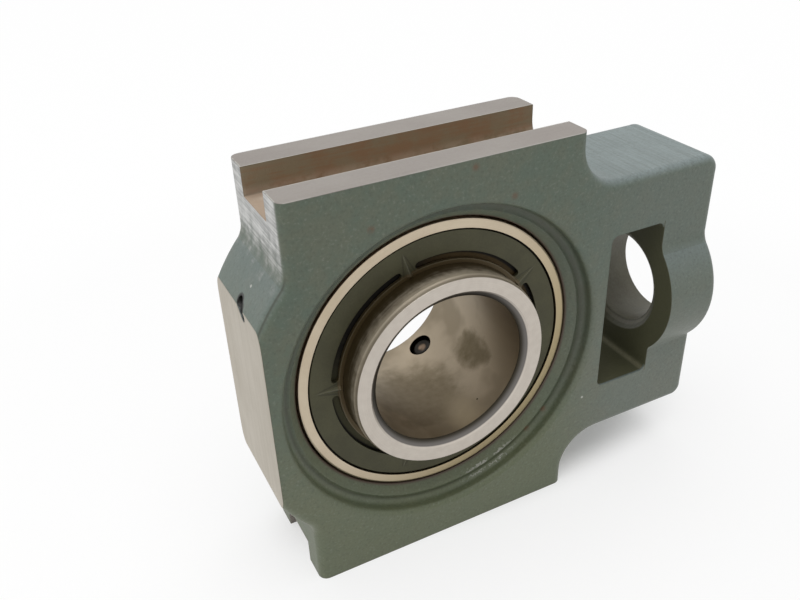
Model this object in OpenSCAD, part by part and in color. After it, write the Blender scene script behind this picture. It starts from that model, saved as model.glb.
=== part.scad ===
// Take-up bearing unit: a cast slide housing that carries a self-aligning insert ball bearing.
// Each piece is drawn as seen from the front, with x towards the screw head, y up and z towards
// the viewer. The whole unit is then stood upright, so that z of the drawing becomes -Y.
// The centre of the spherical seat is the origin.

/* [Guide block] */
// Height over the upper and lower guide rails
rail_h = 117; // [113:0.5:121]
// Height between the floors of the two guide grooves
groove_floor_h = 102; // [98:0.5:106]
// Width of each guide groove
groove_w = 16; // [13:0.5:18]
// Length of the guide block along the slide
guide_len = 83; // [80:0.5:86]
// How far the middle of the guide block sits towards the nose
guide_shift = 1; // [0:0.25:2]
// Thickness of the casting from front to back
plate_t = 34; // [33:0.5:38]
// Radius of the rounded cast edges
cast_edge_r = 2.6; // [1.5:0.1:3]

/* [Nose] */
// Radius of the round nose about the bearing centre
nose_r = 57.5; // [56.5:0.25:59]
// Distance from the bearing centre to the ground flat on the nose
nose_flat_x = 50.4; // [49:0.2:54]
// Radius of the hollow where the nose runs into the guide block
nose_hollow_r = 7; // [5:0.5:9]
// Width of the casting pit on the upper edge of the ground flat
pit_w = 2.8; // [1.5:0.1:3.5]
// Length of the casting pit
pit_len = 6.8; // [4:0.1:8]
// Depth of the casting pit
pit_depth = 2.5; // [1:0.1:3.5]

/* [Screw head] */
// Distance from the bearing centre to the end of the head
head_end = 87.7; // [85:0.1:92]
// Height of the head
head_h = 84; // [78:0.5:88]
// How far the middle of the head sits above the bearing centre
head_rise = 0.6; // [0:0.1:1]
// Radius of the upper outer corner of the head
head_top_r = 4.5; // [3:0.5:8]
// Radius of the lower outer corner of the head
head_low_r = 4; // [3:0.5:8]
// Radius of the hollow between the guide block and the head
neck_r = 12; // [9:0.5:12.5]
// Distance from the bearing centre to the nut slot
slot_x = 51.2; // [50.6:0.2:53]
// Length of the nut slot along the screw
slot_len = 18.6; // [15:0.1:20]
// Height of the nut slot
slot_h = 51; // [49.5:0.5:54]
// Radius of the corners of the nut slot
slot_corner_r = 2.2; // [1:0.1:4]
// Diameter of the boss around the screw hole
boss_d = 48; // [44:0.5:49]
// Diameter of the screw hole in the end wall
screw_hole_d = 29; // [24:0.5:32]
// Radial width of the countersink at each end of the screw hole
hole_sink_w = 2.6; // [1:0.1:3]
// Depth of the countersink at each end of the screw hole
hole_sink_depth = 1.9; // [0.5:0.1:2.5]
// Radius of the hollow above the boss
boss_top_hollow_r = 7; // [4:0.5:9]
// Radius of the hollow below the boss
boss_low_hollow_r = 3.5; // [2:0.5:6]

/* [Seat] */
// Gap between the outer ring and the spherical seat
seat_gap = 0.05; // [0.02:0.01:0.1]
// Gap between the face of the outer ring and the mouth of the seat
mouth_gap = 0.75; // [0.5:0.05:1]
// How far the lead-in cone of the seat widens
lead_in_w = 2.5; // [2:0.1:3]
// How deep the lead-in cone of the seat is
lead_in_depth = 2.65; // [2:0.05:3]
// Radius of the gutter around the lead-in cone
gutter_r = 1.75; // [1.2:0.05:1.9]
// Extra width of the loading slots at the back over the width of the outer ring
loading_slot_play = 0.8; // [0.5:0.1:2]

/* [Insert bearing] */
// Diameter of the shaft bore
bore_d = 44.45; // [40:0.05:46]
// Outer diameter of the inner ring
inner_od = 57.2; // [56.4:0.1:58]
// Distance from the bearing centre to the front face of the inner ring
inner_front = 18.5; // [17:0.5:22]
// Distance from the bearing centre to the back face of the inner ring
inner_back = 30.2; // [29:0.1:34]
// Radial width of the chamfer at each end of the bore
bore_chamfer_w = 2.1; // [1:0.1:2.4]
// Depth of the chamfer at each end of the bore
bore_chamfer_depth = 1.8; // [0.5:0.1:2]
// Diameter of the spherical outside of the outer ring
ring_od = 85; // [84:0.25:86]
// Width of the outer ring
ring_w = 22; // [22:0.2:23]
// Width of the bare ring face outside the seal
ring_face_w = 2.55; // [2:0.05:3]
// Diameter of the balls
ball_d = 12.7; // [12.3:0.1:13]
// Diameter of the circle through the ball centres
pitch_d = 65; // [64.6:0.1:65.4]
// Gap between a ball and the bottom of each raceway
ball_gap = 0.03; // [0.02:0.01:0.06]
// Height of the raceway shoulder in the outer ring
shoulder_h = 3; // [2.4:0.1:3.4]

/* [Cage] */
// Thickness of the pressed cage sheet
cage_t = 1.2; // [0.8:0.1:1.3]
// Gap between a ball and its cage pocket
pocket_gap = 0.15; // [0.1:0.01:0.2]
// Gap between the cage and the land of each ring
cage_land_gap = 0.7; // [0.5:0.1:1.2]
// Diameter of the cage rivets
rivet_d = 1.8; // [1.4:0.1:2]

/* [Seals and slingers] */
// Thickness of the rubber seals
seal_t = 1.2; // [1:0.05:1.3]
// Thickness of the slinger discs
slinger_t = 0.9; // [0.7:0.05:1]
// Gap between seal and slinger
running_gap = 0.35; // [0.3:0.05:0.45]
// Gap between slinger and outer ring
slinger_gap = 0.55; // [0.3:0.05:0.8]
// Radial width of the arc windows in the slingers
window_w = 2.1; // [1.5:0.1:2.4]
// Radial width of the collar between the windows and the inner ring
collar_w = 1.3; // [0.9:0.1:1.6]
// Width of the bridges between the windows
bridge_w = 4; // [3:0.1:6]
// Height of the stiffening crease on each bridge
crease_h = 0.8; // [0.4:0.05:0.8]

/* [Set screws] */
// Effective diameter of the set screws
set_screw_d = 7.4; // [6:0.1:8]
// Length of the set screws
set_screw_len = 8; // [6.5:0.5:10]
// Distance from the back face of the inner ring to the set screws
set_screw_inset = 8; // [7:0.1:9]
// How far the points of the set screws stand back from the bore
set_screw_back = 0.8; // [0.7:0.1:1.5]
// Width across the flats of the hexagon socket
socket_af = 4; // [3:0.5:4]
// Angle of the lower set screw, seen from the front
set_screw_angle = -59.3; // [-90:0.1:-30]

/* [Grease nipple] */
// Width across the flats of the nipple hexagon
nipple_af = 7; // [6:0.5:8]
// Diameter of the nipple thread
nipple_thread_d = 5.4; // [4.5:0.1:6]
// Length of the nipple thread
nipple_thread_len = 5; // [4:0.5:7]
// Diameter of the grease passage
passage_d = 3; // [2:0.1:3.5]

/* [Hidden] */
$fn = 64;

// Small margin by which a cut runs past a face
over = 1;
// Clearance of a plain fit, such as a rivet in its hole
fit = 0.05;
// Corner break at the edges of the rings
ring_edge = 0.4;
inner_edge = 0.5;
inner_edge_depth = 1.4;

guide_left = -guide_len / 2 - guide_shift;
guide_right = guide_len / 2 - guide_shift;
slot_end = slot_x + slot_len;
head_top = head_h / 2 + head_rise;
head_low = head_h / 2 - head_rise;

// Hollow between nose and guide block: its centre and the point where it runs into the nose circle
blend = 0.06;
hollow_reach = nose_r + nose_hollow_r - blend;
hollow_cx = guide_left - nose_hollow_r;
hollow_cy = sqrt(pow(hollow_reach, 2) - pow(hollow_cx, 2));
hollow_tx = hollow_cx * (nose_r - 2 * cast_edge_r) / hollow_reach;
hollow_ty = hollow_cy * (nose_r - 2 * cast_edge_r) / hollow_reach;
corner_y = sqrt(pow(nose_r, 2) - pow(guide_left, 2));
nose_corner_y = sqrt(pow(nose_r, 2) - pow(nose_flat_x, 2));

// Bearing radii
bore_r = bore_d / 2;
inner_r = inner_od / 2;
ring_r = ring_od / 2;
seat_r = ring_r + seat_gap;
pitch_r = pitch_d / 2;
ball_r = ball_d / 2;
groove_r = 1.04 * ball_r;
outer_race_r = pitch_r + ball_r + ball_gap;
inner_race_r = pitch_r - ball_r - ball_gap;
land_r = outer_race_r - shoulder_h;
ring_face_r = sqrt(pow(ring_r, 2) - pow(ring_w / 2, 2));
step_r = ring_face_r - ring_face_w;

// Lead-in cone and gutter at each mouth of the seat
mouth_r = ring_face_r + mouth_gap;
mouth_z = ring_w / 2 - 0.45;
crest_r = mouth_r + lead_in_w;
crest_z = mouth_z + lead_in_depth;
gutter_cr = crest_r + 0.5 * gutter_r;
gutter_cz = crest_z + 0.75 * gutter_r;
rim_r = 1.5;
rim_cr = gutter_cr + gutter_r + rim_r;

// Depths along the bearing axis, from the middle outwards
pocket_r = ball_r + pocket_gap;
cage_outer_r = pocket_r + cage_t;
cage_in = inner_r + cage_land_gap;
cage_out = land_r - cage_land_gap;
seal_z = cage_outer_r + 0.5;
slinger_z = seal_z + seal_t + running_gap;
slinger_face_z = slinger_z + slinger_t;
slinger_r = step_r - slinger_gap;
window_in = inner_r + collar_w;
window_out = window_in + window_w;
crease_w = 1.8;
crease_sink = 0.3;

ball_count = 10;
rivet_angle = 180 / ball_count;
tab_count = 5;
tab_angle = 34;

set_screw_z = set_screw_inset - inner_back;
set_screw_hole_r = set_screw_d / 2 + fit;
set_screw_r0 = bore_r + set_screw_back;

// Grease nipple: it points outwards from the lower neck, on the side away from the set screws
nipple_angle = atan2(-head_low - neck_r, guide_right + neck_r);
nipple_seat_r = norm([guide_right + neck_r, head_low + neck_r]) - neck_r - 0.4;
nipple_z = 6;

module upright() {
    rotate([90, 0, 0]) children();
}

// Turns a shape drawn along z so that it lies along x
module along_x() {
    rotate([90, 0, 90]) children();
}

// Lays a radial piece at an angle about the bearing axis, with its own z pointing outwards
module radial(angle, z) {
    rotate([0, 0, angle]) translate([0, 0, z]) rotate([0, 90, 0]) children();
}

module rounded_rect(w, h, r) {
    square([w - 2 * r, h], center = true);
    square([w, h - 2 * r], center = true);
    for (x = [-1, 1], y = [-1, 1])
        translate([x * (w / 2 - r), y * (h / 2 - r)]) circle(r);
}

// Half of a plate section with rounded rim, for turning about the axis
module rim_section(r) {
    translate([0, -plate_t / 2]) square([r - cast_edge_r, plate_t]);
    translate([0, -plate_t / 2 + cast_edge_r]) square([r, plate_t - 2 * cast_edge_r]);
    for (s = [-1, 1])
        translate([r - cast_edge_r, s * (plate_t / 2 - cast_edge_r)]) circle(cast_edge_r);
}

// Cutter for a hollow of radius r: it flares at both faces, which rounds the edges it leaves
module flared_cutter(r) {
    rotate_extrude() {
        translate([0, -plate_t / 2 - over]) square([r, plate_t + 2 * over]);
        for (s = [0, 1]) mirror([0, s]) difference() {
            translate([r - 0.01, plate_t / 2 - cast_edge_r])
                square([cast_edge_r + 0.01, cast_edge_r + over]);
            translate([r + cast_edge_r, plate_t / 2 - cast_edge_r]) circle(cast_edge_r);
        }
    }
}

module guide_block() {
    translate([(guide_left + guide_right) / 2, 0, 0]) rotate([90, 0, 0])
        linear_extrude(rail_h, center = true) rounded_rect(guide_len, plate_t, cast_edge_r);
}

module nose() {
    intersection() {
        rotate_extrude() rim_section(nose_r);
        translate([-nose_flat_x, -nose_r, -plate_t]) cube([nose_flat_x, 2 * nose_r, 2 * plate_t]);
    }
    for (s = [0, 1]) mirror([0, s, 0]) difference() {
        linear_extrude(plate_t, center = true)
            polygon([[guide_left + 2 * cast_edge_r, hollow_cy], [hollow_cx, hollow_cy],
                [hollow_tx, hollow_ty], [guide_left + 2 * cast_edge_r, corner_y - 6]]);
        translate([hollow_cx, hollow_cy, 0]) flared_cutter(nose_hollow_r);
    }
}

// Half of the head, h high from the screw axis, with a turned outer corner of radius r
module head_half(h, r) {
    along_x() linear_extrude(head_end - r) rim_section(h);
    translate([0, h - r, 0]) rotate([90, 0, 0]) linear_extrude(h - r) rim_section(head_end);
    translate([head_end - r, h - r, 0]) rotate_extrude() intersection() {
        rim_section(r + blend);
        translate([0, -plate_t]) square([r + over, 2 * plate_t]);
    }
}

module neck_hollow(head_y) {
    difference() {
        translate([guide_right - cast_edge_r, head_y - cast_edge_r, -plate_t / 2])
            cube([neck_r + cast_edge_r, neck_r + cast_edge_r, plate_t]);
        translate([guide_right + neck_r, head_y + neck_r, 0]) flared_cutter(neck_r);
    }
}

module head() {
    head_half(head_top, head_top_r);
    mirror([0, 1, 0]) head_half(head_low, head_low_r);
    neck_hollow(head_top);
    mirror([0, 1, 0]) neck_hollow(head_low);
}

// Fill between the boss and one face of the head, hollowed to radius r and rounded at its outer end
module boss_hollow(r) {
    h = head_end - slot_end;
    reach = boss_d / 2 + r - blend;
    cz = plate_t / 2 + r - blend;
    cy = sqrt(pow(reach, 2) - pow(cz, 2));
    difference() {
        linear_extrude(h) polygon([[0, plate_t / 2 - cast_edge_r], [cy, plate_t / 2 - cast_edge_r],
            [cy, cz], [cy * boss_d / 2 / reach, cz * boss_d / 2 / reach]]);
        translate([cy, cz, 0]) rotate_extrude() {
            translate([0, -over]) square([r, h + 2 * over]);
            difference() {
                translate([r - 0.01, h - cast_edge_r]) square([cast_edge_r + 0.01, cast_edge_r + over]);
                translate([r + cast_edge_r, h - cast_edge_r]) circle(cast_edge_r);
            }
        }
    }
}

module boss() {
    h = head_end - slot_end;
    r = boss_d / 2;
    translate([slot_end, 0, 0]) along_x() {
        rotate_extrude() {
            square([r - cast_edge_r, h]);
            square([r, h - cast_edge_r]);
            translate([r - cast_edge_r, h - cast_edge_r]) circle(cast_edge_r);
        }
        for (s = [0, 1]) mirror([0, s, 0]) {
            boss_hollow(boss_top_hollow_r);
            mirror([1, 0, 0]) boss_hollow(boss_low_hollow_r);
        }
    }
}

module guide_grooves() {
    for (s = [0, 1]) mirror([0, s, 0])
        translate([guide_left - over, groove_floor_h / 2, -groove_w / 2])
            cube([guide_len + 2 * over, rail_h, groove_w]);
}

module nut_slot() {
    translate([slot_x + slot_len / 2, head_rise, 0])
        linear_extrude(boss_d + 2 * over, center = true) rounded_rect(slot_len, slot_h, slot_corner_r);
}

module screw_hole() {
    r = screw_hole_d / 2;
    translate([slot_end, 0, 0]) along_x() rotate_extrude()
        polygon([[0, -over], [r + hole_sink_w * (1 + over / hole_sink_depth), -over],
            [r, hole_sink_depth], [r, head_end - slot_end - hole_sink_depth],
            [r + hole_sink_w * (1 + over / hole_sink_depth), head_end - slot_end + over],
            [0, head_end - slot_end + over]]);
}

// Lead-in cone, gutter and rounded rim at one mouth of the seat
module seat_mouth() {
    rotate_extrude() {
        polygon([[0, 0], [mouth_r, 0], [mouth_r, mouth_z], [crest_r, crest_z], [gutter_cr, gutter_cz],
            [gutter_cr + gutter_r, gutter_cz], [gutter_cr + gutter_r, plate_t / 2 + over],
            [0, plate_t / 2 + over]]);
        translate([gutter_cr, gutter_cz]) circle(gutter_r);
        difference() {
            translate([rim_cr - rim_r - 0.01, plate_t / 2 - rim_r]) square([rim_r + 0.01, rim_r + over]);
            translate([rim_cr, plate_t / 2 - rim_r]) circle(rim_r);
        }
    }
}

// Slots through which the insert is put in sideways and then turned
module loading_slots() {
    intersection() {
        translate([0, 0, -plate_t]) cylinder(r = seat_r, h = plate_t);
        cube([ring_w + loading_slot_play, 2 * seat_r, 3 * plate_t], center = true);
    }
}

module grease_way() {
    radial(nipple_angle, nipple_z) {
        translate([0, 0, seat_r - 6]) cylinder(d = passage_d, h = nipple_seat_r - seat_r);
        translate([0, 0, nipple_seat_r - nipple_thread_len - 1])
            cylinder(d = nipple_thread_d + 2 * fit, h = nipple_thread_len + 2);
        translate([0, 0, nipple_seat_r]) cylinder(d = nipple_af + 3.5, h = 2 * neck_r);
    }
}

// Open pit in the casting, on the upper edge of the ground flat
module casting_pit() {
    translate([-nose_flat_x - 2 * over, nose_corner_y - 0.1, 3.2]) along_x()
        linear_extrude(pit_depth + 2 * over) rotate(-52) {
            square([pit_len - pit_w, pit_w], center = true);
            for (s = [-1, 1]) translate([s * (pit_len - pit_w) / 2, 0]) circle(d = pit_w);
        }
}

module housing() {
    color("#66746a") difference() {
        union() {
            guide_block();
            nose();
            head();
            boss();
        }
        guide_grooves();
        nut_slot();
        screw_hole();
        sphere(seat_r);
        for (s = [0, 1]) mirror([0, 0, s]) seat_mouth();
        loading_slots();
        grease_way();
        casting_pit();
    }
}

module grease_nipple() {
    neck_d = 0.62 * nipple_af;
    tip_d = 0.9 * nipple_af;
    hex_h = 3;
    color("#b9b4a4") radial(nipple_angle, nipple_z) difference() {
        union() {
            translate([0, 0, nipple_seat_r - nipple_thread_len])
                cylinder(d = nipple_thread_d, h = nipple_thread_len + 0.5);
            translate([0, 0, nipple_seat_r]) cylinder(d = nipple_af / cos(30), h = hex_h, $fn = 6);
            translate([0, 0, nipple_seat_r]) cylinder(d = neck_d, h = hex_h + 3);
            translate([0, 0, nipple_seat_r + hex_h + 1]) cylinder(d1 = neck_d, d2 = tip_d, h = 1.4);
            translate([0, 0, nipple_seat_r + hex_h + 2.4]) cylinder(d = tip_d, h = 0.8);
            translate([0, 0, nipple_seat_r + hex_h + 3.2])
                cylinder(d1 = tip_d, d2 = 0.45 * tip_d, h = 2.2);
        }
        translate([0, 0, nipple_seat_r - nipple_thread_len - over])
            cylinder(d = 2.2, h = nipple_thread_len + hex_h + 4);
        translate([0, 0, nipple_seat_r]) cylinder(d = 1.2, h = hex_h + 7);
    }
}

module outer_ring() {
    color("#c9c2b0") rotate_extrude() difference() {
        intersection() {
            circle(ring_r);
            translate([0, -ring_w / 2]) square([ring_r, ring_w]);
        }
        translate([0, -ring_w]) square([land_r, 2 * ring_w]);
        translate([outer_race_r - groove_r, 0]) circle(groove_r);
        for (s = [0, 1]) mirror([0, s]) {
            translate([0, seal_z]) square([step_r, ring_w]);
            polygon([[ring_face_r - ring_edge, ring_w / 2 + 0.01], [ring_r, ring_w / 2 + 0.01],
                [ring_r, ring_w / 2 - 2 * ring_edge], [ring_face_r + 0.1, ring_w / 2 - ring_edge / 2]]);
        }
        translate([ring_r - 0.7, nipple_z - passage_d / 2]) square([2, passage_d]);
    }
}

module set_screw_holes() {
    for (k = [0, 1]) radial(set_screw_angle + 120 * k, set_screw_z)
        cylinder(r = set_screw_hole_r, h = inner_od);
}

module inner_ring() {
    color("#cdc8be") difference() {
        rotate_extrude() difference() {
            polygon([[bore_r, -inner_back + bore_chamfer_depth],
                [bore_r + bore_chamfer_w, -inner_back], [inner_r - inner_edge, -inner_back],
                [inner_r, -inner_back + inner_edge], [inner_r, inner_front - inner_edge_depth],
                [inner_r - inner_edge, inner_front], [bore_r + bore_chamfer_w, inner_front],
                [bore_r, inner_front - bore_chamfer_depth]]);
            translate([inner_race_r + groove_r, 0]) circle(groove_r);
        }
        set_screw_holes();
    }
}

// Rubber seal: a bead in the step of the outer ring, a disc, and a lip that runs on the inner ring
module seal() {
    lip_r = inner_r + 2 * fit;
    color("#23221f") rotate_extrude()
        polygon([[lip_r, seal_z + seal_t], [lip_r, seal_z + seal_t - 0.4], [lip_r + 0.9, seal_z + 0.2],
            [step_r - 1.5, seal_z + 0.2], [step_r - 1.4, seal_z], [step_r, seal_z],
            [step_r, seal_z + seal_t]]);
}

module front_seal() {
    seal();
}

module rear_seal() {
    mirror([0, 0, 1]) seal();
}

// One arc window with round ends, between two bridges
module slinger_window() {
    mid_r = (window_in + window_out) / 2;
    half = (bridge_w + window_w) / 2 / mid_r * 180 / PI;
    span = 360 / tab_count;
    difference() {
        circle(window_out);
        circle(window_in);
        rotate(half) translate([-2 * mid_r, -4 * mid_r]) square(4 * mid_r);
        rotate(span - half - 180) translate([-2 * mid_r, -4 * mid_r]) square(4 * mid_r);
    }
    for (a = [half, span - half]) rotate(a) translate([mid_r, 0]) circle(d = 0.94 * window_w);
}

// Stiffening crease along a bridge: a ridge that sinks into the disc towards its outer end
module slinger_crease() {
    crease_len = slinger_r - window_in;
    sink = crease_sink + crease_h;
    intersection() {
        translate([window_in - 0.6, 0, slinger_face_z]) rotate([0, atan(sink / crease_len), 0])
            along_x() linear_extrude(crease_len)
                polygon([[-crease_w, -crease_h], [crease_w, -crease_h], [0, crease_h]]);
        translate([window_in - over, -crease_w, slinger_face_z - crease_sink])
            cube([crease_len, 2 * crease_w, crease_h + 2 * crease_sink]);
    }
}

module slinger() {
    color("#57564a") {
        translate([0, 0, slinger_z]) linear_extrude(slinger_t) difference() {
            circle(slinger_r);
            circle(inner_r + fit);
            for (k = [0 : tab_count - 1]) rotate(tab_angle + k * 360 / tab_count) slinger_window();
        }
        for (k = [0 : tab_count - 1]) rotate([0, 0, tab_angle + k * 360 / tab_count]) slinger_crease();
    }
}

module front_slinger() {
    slinger();
}

module rear_slinger() {
    mirror([0, 0, 1]) slinger();
}

module at_balls() {
    for (k = [0 : ball_count - 1]) rotate([0, 0, k * 360 / ball_count])
        translate([pitch_r, 0, 0]) children();
}

module at_rivets() {
    rotate([0, 0, rivet_angle]) at_balls() children();
}

// Pressed half of the ribbon cage: flat between the balls and cupped around each ball
module cage_half() {
    color("#a89a72") difference() {
        intersection() {
            union() {
                cylinder(r = cage_out, h = cage_t);
                at_balls() sphere(cage_outer_r);
            }
            difference() {
                cylinder(r = cage_out, h = cage_outer_r + over);
                translate([0, 0, -over]) cylinder(r = cage_in, h = cage_outer_r + 3 * over);
            }
        }
        at_balls() sphere(pocket_r);
        at_rivets() translate([0, 0, -over]) cylinder(d = rivet_d + 2 * fit, h = cage_t + 2 * over);
    }
}

module front_cage_half() {
    cage_half();
}

module rear_cage_half() {
    mirror([0, 0, 1]) cage_half();
}

module cage_rivets() {
    color("#8f8a7c") at_rivets() {
        cylinder(d = rivet_d, h = 2 * cage_t + 0.6, center = true);
        for (s = [0, 1]) mirror([0, 0, s]) intersection() {
            translate([0, 0, cage_t - 0.6]) sphere(1.5);
            translate([-2, -2, cage_t]) cube(4);
        }
    }
}

module ball(k) {
    color("#dcdcdc") rotate([0, 0, k * 360 / ball_count]) translate([pitch_r, 0, 0]) sphere(ball_r);
}

module ball_1() ball(0);
module ball_2() ball(1);
module ball_3() ball(2);
module ball_4() ball(3);
module ball_5() ball(4);
module ball_6() ball(5);
module ball_7() ball(6);
module ball_8() ball(7);
module ball_9() ball(8);
module ball_10() ball(9);

// Socket set screw with a cupped point towards the shaft
module set_screw(k) {
    r = set_screw_d / 2;
    color("#34322f") radial(set_screw_angle + 120 * k, set_screw_z)
        translate([0, 0, set_screw_r0]) difference() {
            union() {
                cylinder(r1 = r - 1, r2 = r, h = 1);
                translate([0, 0, 1]) cylinder(r = r, h = set_screw_len - 1.5);
                translate([0, 0, set_screw_len - 0.5]) cylinder(r1 = r, r2 = r - 0.5, h = 0.5);
            }
            translate([0, 0, -0.01]) cylinder(r1 = r - 1.5, r2 = 0, h = 1.2);
            translate([0, 0, set_screw_len / 2])
                cylinder(d = socket_af / cos(30), h = set_screw_len, $fn = 6);
        }
}

module set_screw_1() set_screw(0);
module set_screw_2() set_screw(1);

upright() housing();
upright() grease_nipple();
upright() outer_ring();
upright() inner_ring();
upright() front_seal();
upright() rear_seal();
upright() front_slinger();
upright() rear_slinger();
upright() front_cage_half();
upright() rear_cage_half();
upright() cage_rivets();
upright() ball_1();
upright() ball_2();
upright() ball_3();
upright() ball_4();
upright() ball_5();
upright() ball_6();
upright() ball_7();
upright() ball_8();
upright() ball_9();
upright() ball_10();
upright() set_screw_1();
upright() set_screw_2();
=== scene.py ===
"""Looks of the take-up bearing unit.

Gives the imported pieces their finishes, and adds threaded set screws, floor, light and camera.
"""

import math

import bpy
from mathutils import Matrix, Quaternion, Vector


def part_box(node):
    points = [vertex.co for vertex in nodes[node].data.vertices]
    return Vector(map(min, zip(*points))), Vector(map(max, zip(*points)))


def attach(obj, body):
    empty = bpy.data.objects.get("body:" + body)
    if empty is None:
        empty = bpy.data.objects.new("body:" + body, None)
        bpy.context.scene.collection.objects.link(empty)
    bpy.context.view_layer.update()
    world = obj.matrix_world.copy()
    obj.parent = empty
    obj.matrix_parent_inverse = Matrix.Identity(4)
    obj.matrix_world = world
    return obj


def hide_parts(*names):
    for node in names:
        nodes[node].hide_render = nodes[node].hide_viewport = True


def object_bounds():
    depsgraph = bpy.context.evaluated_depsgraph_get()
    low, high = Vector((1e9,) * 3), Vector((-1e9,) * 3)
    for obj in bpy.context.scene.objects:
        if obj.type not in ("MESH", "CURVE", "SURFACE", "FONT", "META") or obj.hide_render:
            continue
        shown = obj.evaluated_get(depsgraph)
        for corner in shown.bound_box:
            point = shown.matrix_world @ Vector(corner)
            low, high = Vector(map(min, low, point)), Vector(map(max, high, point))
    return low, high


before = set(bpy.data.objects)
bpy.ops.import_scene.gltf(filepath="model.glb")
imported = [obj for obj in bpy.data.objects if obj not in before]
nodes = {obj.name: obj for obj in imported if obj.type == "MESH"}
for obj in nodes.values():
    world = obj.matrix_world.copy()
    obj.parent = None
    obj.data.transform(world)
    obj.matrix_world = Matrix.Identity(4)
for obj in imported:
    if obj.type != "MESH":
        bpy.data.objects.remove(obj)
cad_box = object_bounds()

MM = 0.001

# Planes and radii of the casting, in millimetres
housing_low, housing_high = (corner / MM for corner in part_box("housing"))
RAIL_FACE = housing_high.z
NOSE_FLAT = -housing_low.x
PLATE_FACE = 17.0
GROOVE_WALL = 8.0
GROOVE_FLOOR = 51.0
GUIDE_END = 42.5
SLOT_START, SLOT_END = 51.2, 69.8
SLOT_MIDDLE, SLOT_HALF = 0.6, 25.5
HOLE_RADIUS, SINK_WIDTH, SINK_DEPTH = 14.5, 2.6, 1.9
SEAT_MOUTH = 41.8
GUTTER_RADIUS = 45.2
GUTTER_DEPTH = 13.6
MOUTH_RIM = 49.0
NOSE_RADIUS = 57.5

# Planes and radii of the bearing, in millimetres
inner_low, inner_high = (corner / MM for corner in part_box("inner_ring"))
INNER_FRONT = -inner_low.y
INNER_RADIUS = inner_high.x
BORE_RADIUS = 22.225
CHAMFER_DEPTH = 1.8
COLLAR_RADIUS = 29.9
WINDOW_RADIUS = 32.0
TAB_COUNT = 5
TAB_ANGLE = math.radians(34.0)
CREASE_TIP, CREASE_SPREAD = 37.0, 0.24

# Set screws: sizes in millimetres, drawn along Z from the point at 0
SCREW_LENGTH = 8.0
SCREW_CREST = 3.66
SCREW_BEVEL = 0.6
THREAD_PITCH = 1.0
THREAD_TURNS = 6
THREAD_DEPTH = 0.56
THREAD_START = 1.1
THREAD_SUNK = 0.1
SCREW_CORE = SCREW_CREST - THREAD_DEPTH
SOCKET_FLATS = 4.0
SOCKET_DEPTH = 4.0
CUP_RADIUS, CUP_DEPTH = 2.2, 1.2
CUP_OVERLAP = 0.02

# Set screws: the share of the pitch that the thread fills, and how finely they are drawn
THREAD_FILL = 0.96
ROUND_SIDES = 64
HELIX_STEPS = 40
SMOOTH_ANGLE = math.radians(30.0)

# Set screws: the point's distance from the bearing axis, the plane along Y and the directions
SCREW_POINT = 23.025
SCREW_PLANE = 22.2
SCREW_ANGLES = {"set_screw_1": math.radians(-59.3), "set_screw_2": math.radians(60.7)}

# Edges on the casting: a place along an axis or a radius, and the half width of the edge, in millimetres
LOW_PAINT = (30.0, 45.0)
BODY_PAINT = (45.0, 12.0)
HEAD_PAINT = (48.0, 20.0)
# Painted shade that darkens the casting towards the top
UPPER_SHADE = (0.0, 35.0)
FILED_PAINT = (SLOT_START, 4.0)
RAIL_EDGE = (RAIL_FACE - 0.12, 0.06)
UPPER_RAILS = (0.0, 1.0)
GROOVE_SIDE = (GROOVE_WALL + 0.06, 0.04)
GROOVE_BOTTOM = (GROOVE_FLOOR - 0.08, 0.04)
GROOVE_FOOT = (GROOVE_FLOOR + 1.6, 1.4)
WALL_EDGE = (GROOVE_WALL - 0.06, 0.04)
STAIN_EDGE = (GUIDE_END, 5.0)
NOSE_EDGE = (NOSE_FLAT - 0.08, 0.05)
END_EDGE = (GUIDE_END - 0.45, 0.25)
END_SIDE = (PLATE_FACE - 2.0, 0.6)
BRUSHED_EDGE = (51.5, 6.5)
SLOT_FAR_EDGE = (SLOT_END - 0.1, 0.05)
SLOT_SIDE = (PLATE_FACE - 0.5, 0.4)
DUST_EDGE = (SLOT_END - 1.4, 0.6)
DUST_TOP = (SLOT_MIDDLE - SLOT_HALF + 1.0, 0.5)
HOLE_EDGE = (HOLE_RADIUS + SINK_WIDTH, 0.2)
SINK_EDGE = (HOLE_RADIUS + SINK_WIDTH / 2, 0.25)
SEAT_EDGE = (SEAT_MOUTH + 0.35, 0.3)
MOUTH_EDGE = (MOUTH_RIM, 0.5)
GUTTER_SIDE = (PLATE_FACE - 1.2, 0.9)
GUTTER_UPPER_RIGHT = (-2.0, 34.0)
CHIPS_DEPTH = (GUTTER_DEPTH - 3.0, 0.4)
CHIPS_TOP = (36.0, 4.0)
RIM_ROUND = (NOSE_RADIUS - 1.8, 0.5)
RIM_START = (GUIDE_END - 0.6, 0.5)
PIT_START = (0.18 - NOSE_FLAT, 0.1)

# Bands on the casting: the middle, the reach and the half width of the edge, in millimetres
SLOT_ALONG = ((SLOT_START + SLOT_END) / 2, (SLOT_END - SLOT_START) / 2 + 0.15, 0.05)
SLOT_UPRIGHT = (SLOT_MIDDLE, SLOT_HALF + 0.4, 0.2)
SINK_ROUND = (HOLE_RADIUS + 0.1, 0.25, 0.2)
SINK_ALONG = (SLOT_END + SINK_DEPTH, 0.4, 0.3)
GUTTER_SPREAD = (GUTTER_RADIUS + 0.5, 1.0, 1.4)
GUTTER_LINE = (GUTTER_RADIUS, 0.45, 0.6)
CHIPS_INNER = (GUTTER_RADIUS + 0.5, 0.20, 0.15)
CHIPS_OUTER = (GUTTER_RADIUS + 2.7, 0.14, 0.15)
CHIPS_ACROSS = (15.0, 8.0, 4.0)
RIM_LINE = (1.2 - PLATE_FACE, 0.22, 0.25)
RIM_UPRIGHT = (33.0, 6.5, 2.0)
# Pale burrs with a painted edge highlight along the rail edges
GROOVE_BURR_HIGHLIGHT = (GROOVE_WALL + 0.18, 0.12, 0.10)
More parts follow.
